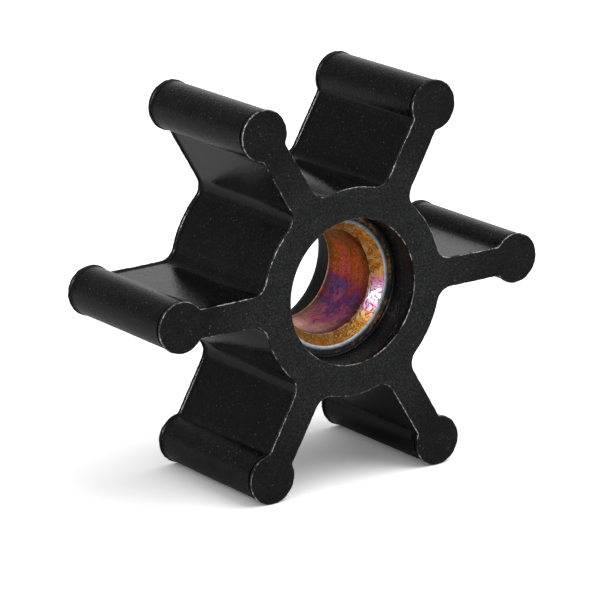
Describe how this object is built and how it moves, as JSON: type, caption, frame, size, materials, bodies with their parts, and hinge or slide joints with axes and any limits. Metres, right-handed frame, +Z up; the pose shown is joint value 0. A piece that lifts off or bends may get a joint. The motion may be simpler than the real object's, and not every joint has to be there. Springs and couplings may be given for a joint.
{
  "type": "rubber pump impeller",
  "caption": "Flexible vane impeller for a small raw-water pump: a black rubber hub with straight round-tipped vanes, moulded round a plain-bore brass sleeve.",
  "frame": {"origin": "on the shaft axis, half way between the two faces", "axes": "+Y along the shaft axis, from the front face to the rear face; +X along one vane; +Z up, with the impeller standing on the tips of its two lower vanes"},
  "size_m": [0.0508, 0.019, 0.0448],
  "materials": {
    "rubber": "satin black moulded rubber with fine pale dust",
    "brass": "heat-tarnished, orange to purple"
  },
  "bodies": {
    "root": {"rubber_body": "rubber", "brass_sleeve": "brass"}
  },
  "joints": []
}
